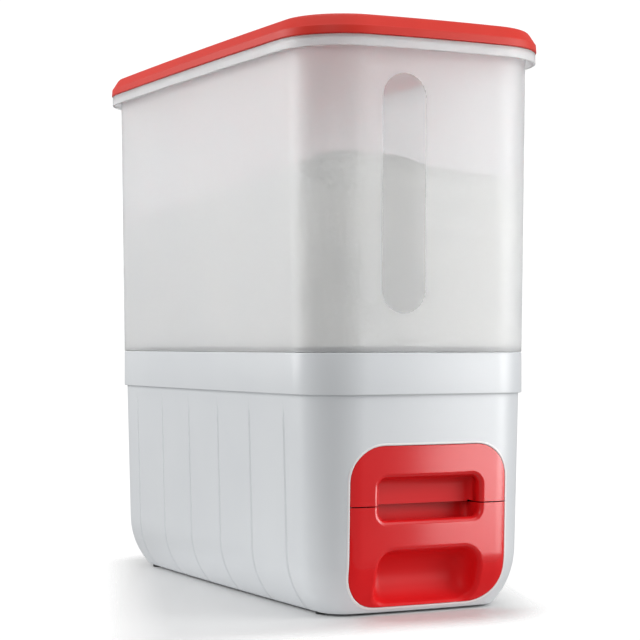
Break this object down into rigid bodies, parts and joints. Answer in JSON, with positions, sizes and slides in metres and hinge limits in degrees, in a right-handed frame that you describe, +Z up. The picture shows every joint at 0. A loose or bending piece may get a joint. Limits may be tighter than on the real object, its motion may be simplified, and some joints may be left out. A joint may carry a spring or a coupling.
{
  "type": "rice dispenser with drawer",
  "caption": "Tall rice bin with a frosted container, press-on lid, and a white base with a pull-out drawer under a top-hung flap.",
  "frame": {"origin": "on the floor, below the middle of the plan", "axes": "+Z up, -Y towards the front where the drawer is, +X to the right as seen from the front"},
  "size_m": [0.2074, 0.4224, 0.4145],
  "materials": {
    "red_lid": "satin",
    "frosted_container": "frosted translucent",
    "white_base": "satin gloss",
    "white_inner": "satin",
    "red_drawer": "gloss",
    "steel_pin": "drawn wire",
    "rubber_foot": "matte"
  },
  "bodies": {
    "base": {"base_housing": "white_base", "container": "frosted_container", "hopper": "white_inner", "drawer_guide": "white_inner", "hinge_pin_left": "steel_pin", "hinge_pin_right": "steel_pin", "foot_front_left": "rubber_foot", "foot_front_right": "rubber_foot", "foot_rear_left": "rubber_foot", "foot_rear_right": "rubber_foot"},
    "lid": {"lid": "red_lid"},
    "drawer": {"drawer_front": "red_drawer", "drawer_tray": "white_inner"},
    "flap": {"flap": "red_drawer"}
  },
  "joints": [
    {"name": "lid_lift", "type": "slide", "parent": "base", "child": "lid", "axis": [0, 0, 1], "range_m": [0, 0.12]},
    {"name": "drawer_slide", "type": "slide", "parent": "base", "child": "drawer", "axis": [0, -1, 0], "range_m": [0, 0.108]},
    {"name": "flap_hinge", "type": "hinge", "parent": "base", "child": "flap", "pos_m": [0, -0.18953, 0.094], "axis": [-1, 0, 0], "range_deg": [0, 60]}
  ]
}
